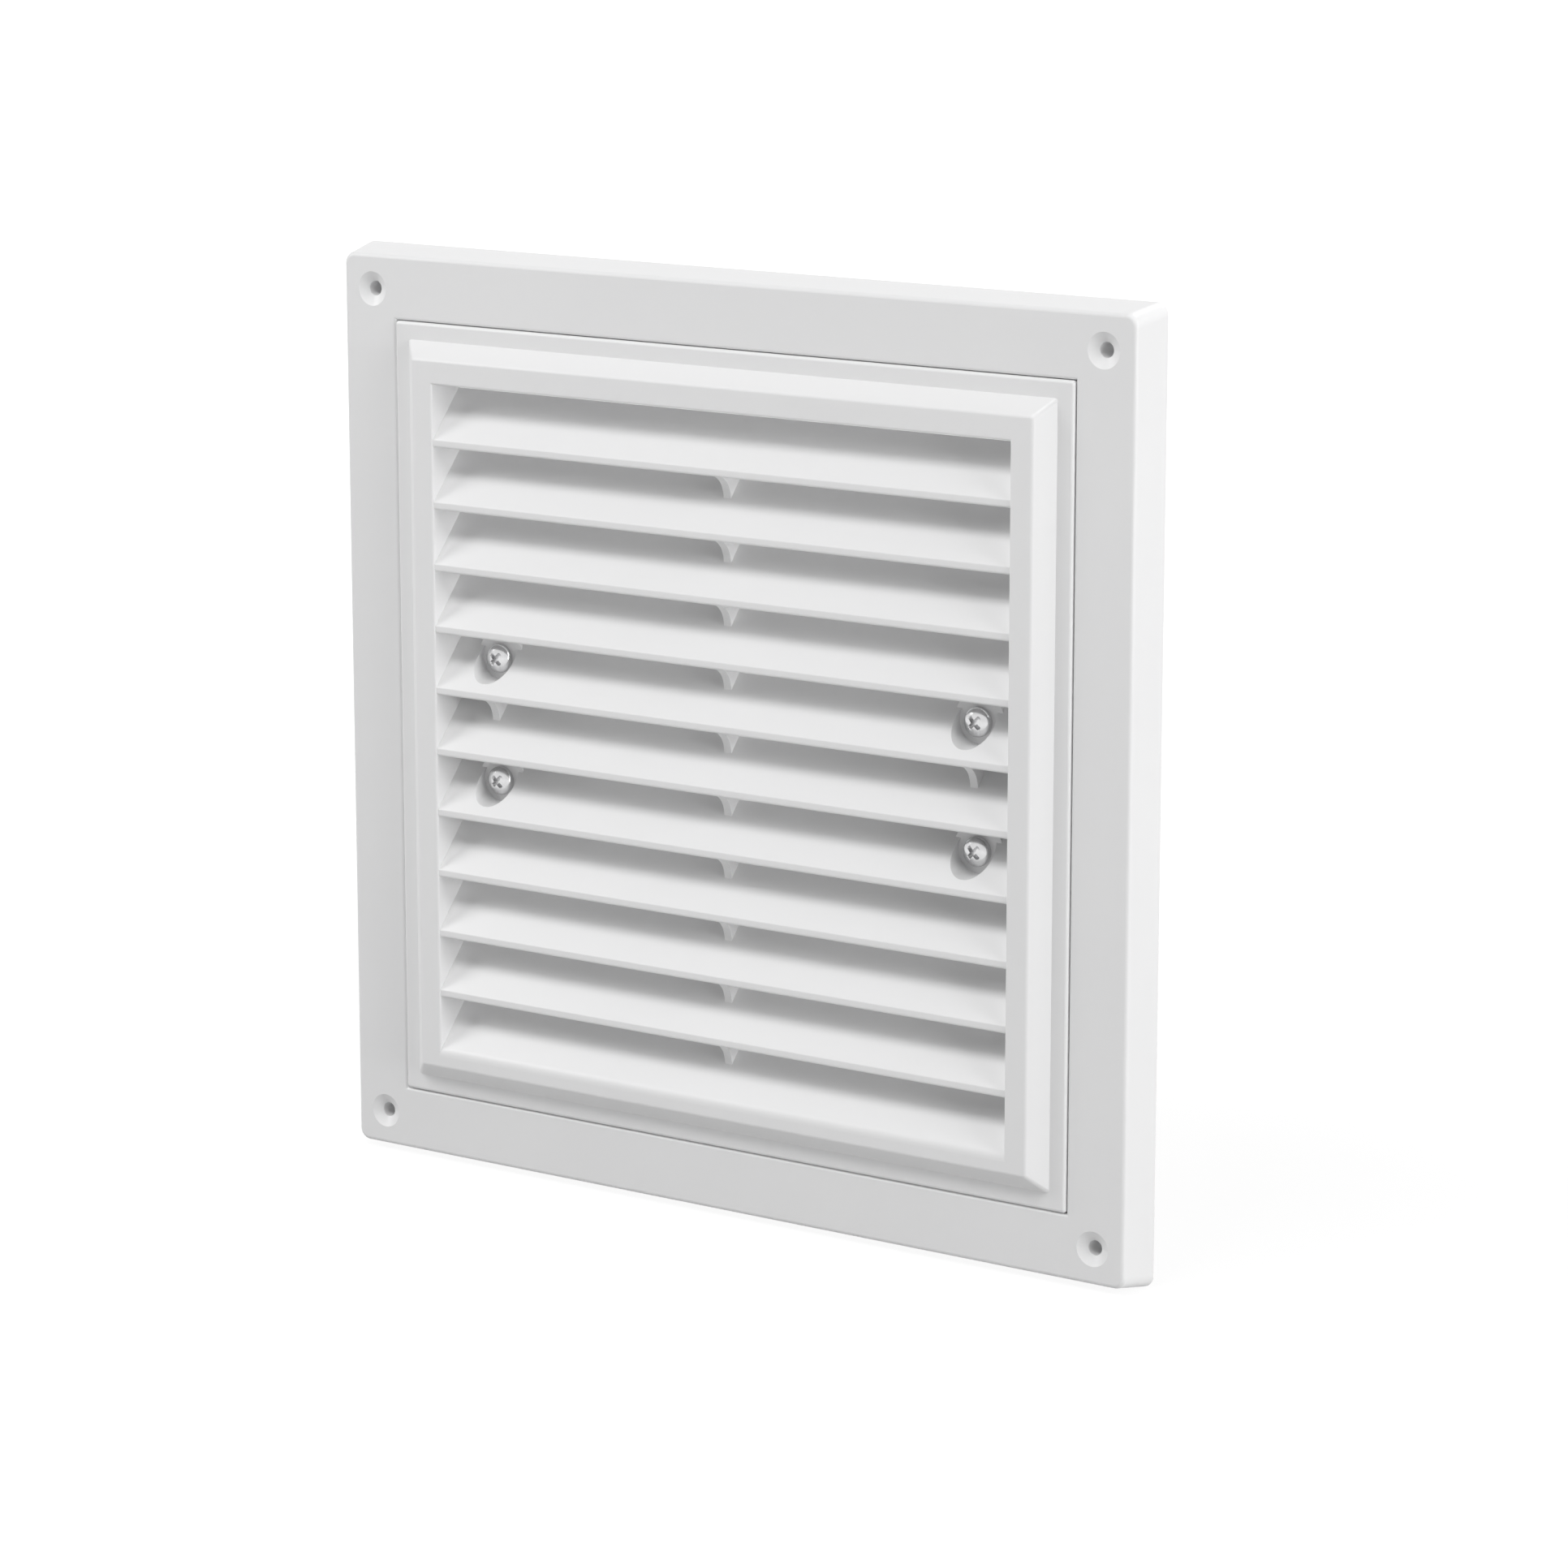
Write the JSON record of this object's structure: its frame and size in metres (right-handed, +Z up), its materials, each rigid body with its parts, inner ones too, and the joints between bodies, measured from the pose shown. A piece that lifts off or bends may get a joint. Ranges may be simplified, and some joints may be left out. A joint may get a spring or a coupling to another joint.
{
  "type": "ventilation grille",
  "caption": "Square white louvred wall grille: a screw-on frame, a clip-in panel of sloping blades, and sliding jaws behind it that grip the inside of a round duct.",
  "frame": {"origin": "middle of the wall face, at the centre of the four wall screw holes", "axes": "+Y into the wall, square to the wall face; +Z up; +X to the right as seen from the room"},
  "size_m": [0.2, 0.0412, 0.2],
  "materials": {
    "frame_plastic": "white moulded plastic, satin",
    "panel_plastic": "white moulded plastic, satin",
    "jaw_plastic": "white moulded plastic, matt",
    "screw_steel": "bright plated steel",
    "nut_steel": "plated steel"
  },
  "bodies": {
    "grille": {"wall_frame": "frame_plastic", "louvre_panel": "panel_plastic", "jaw_screws": "screw_steel", "jaw_nuts": "nut_steel"},
    "right_jaw": {"jaw_right": "jaw_plastic"},
    "left_jaw": {"jaw_left": "jaw_plastic"}
  },
  "joints": [
    {"name": "right_jaw_slide", "type": "slide", "parent": "grille", "child": "right_jaw", "axis": [1, 0, 0], "range_m": [-0.0125, 0.0125]},
    {"name": "left_jaw_slide", "type": "slide", "parent": "grille", "child": "left_jaw", "axis": [-1, 0, 0], "range_m": [-0.0125, 0.0125]}
  ]
}
